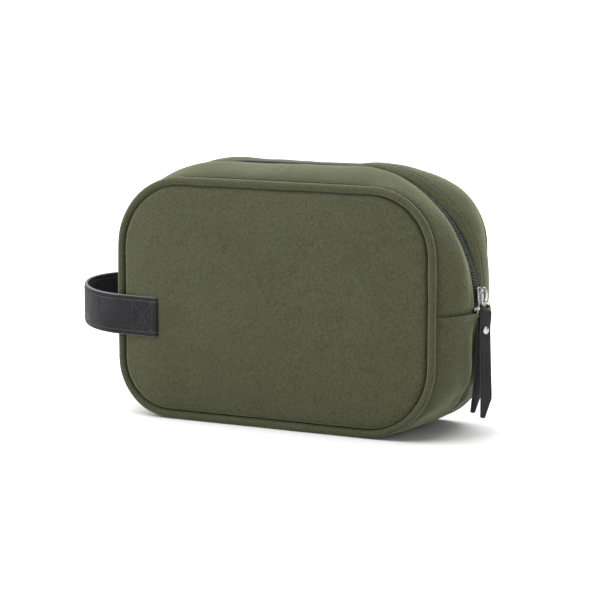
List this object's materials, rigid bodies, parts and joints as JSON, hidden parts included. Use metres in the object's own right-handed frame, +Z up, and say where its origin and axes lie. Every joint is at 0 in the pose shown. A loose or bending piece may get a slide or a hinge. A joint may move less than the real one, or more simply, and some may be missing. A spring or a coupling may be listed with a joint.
{
  "type": "zipped wash bag",
  "caption": "Soft boxy suede wash bag with piped edges, a zip over the top, a leather side handle and a leather zip pull.",
  "frame": {"origin": "centre of the flat base, on the surface the bag stands on", "axes": "+Z up, -Y out of the front panel, +X towards the closed end of the zip, -X towards the handle"},
  "size_m": [0.3031, 0.0978, 0.1742],
  "materials": {
    "suede": "olive green suede with a short soft nap",
    "foam": "soft felted padding, hidden between suede and lining",
    "lining": "smooth woven lining, dull",
    "binding": "woven binding tape, dull",
    "zip_tape": "dark green-black woven tape",
    "zip_coil": "dark green-black nylon coil, slight sheen",
    "leather": "black smooth leather with painted edges, satin",
    "bright_metal": "bright nickel-plated zinc"
  },
  "bodies": {
    "bag_body": {"rear_panel": "suede", "rear_foam": "foam", "rear_lining": "lining", "rear_piping": "suede", "rear_binding": "binding", "front_panel_lower": "suede", "front_foam_lower": "foam", "front_lining_lower": "lining", "front_piping_lower": "suede", "front_binding_lower": "binding", "base_gusset": "suede", "base_foam": "foam", "base_lining": "lining", "rear_gusset": "suede", "rear_gusset_lining": "lining", "zip_tape_rear": "zip_tape", "zip_coil_rear": "zip_coil", "zip_top_stop_rear": "bright_metal", "zip_bottom_stop": "bright_metal", "handle_outer": "leather", "handle_inner": "leather"},
    "front_flap": {"front_panel_upper": "suede", "front_foam_upper": "foam", "front_lining_upper": "lining", "front_piping_upper": "suede", "front_binding_upper": "binding", "front_gusset": "suede", "front_gusset_lining": "lining", "zip_tape_front": "zip_tape", "zip_coil_front": "zip_coil", "zip_top_stop_front": "bright_metal"},
    "zip_slider": {"slider_body": "bright_metal", "slider_bridge": "bright_metal"},
    "pull_link": {"pull_link": "bright_metal"},
    "pull_ring": {"pull_ring": "bright_metal"},
    "leather_pull": {"pull_strap": "leather", "rivet_cap": "bright_metal", "rivet_back": "bright_metal"}
  },
  "joints": [
    {"name": "mouth_open", "type": "hinge", "parent": "bag_body", "child": "front_flap", "pos_m": [0, -0.0482, 0.0825], "axis": [1, 0, 0], "range_deg": [0, 38]},
    {"name": "zip_travel", "type": "hinge", "parent": "bag_body", "child": "zip_slider", "pos_m": [0.04, 0, 0.0835], "axis": [0, -1, 0], "range_deg": [0, 82]},
    {"name": "link_swing", "type": "hinge", "parent": "zip_slider", "child": "pull_link", "pos_m": [0.13445, 0, 0.09655], "axis": [0, -1, 0], "range_deg": [0, 110]},
    {"name": "ring_swing", "type": "hinge", "parent": "pull_link", "child": "pull_ring", "pos_m": [0.13445, 0, 0.08694], "axis": [0, -1, 0], "range_deg": [0, 22]},
    {"name": "strap_swing", "type": "hinge", "parent": "pull_ring", "child": "leather_pull", "pos_m": [0.13445, 0, 0.08089], "axis": [-0.4067, -0.9135, 0], "range_deg": [0, 60]}
  ]
}
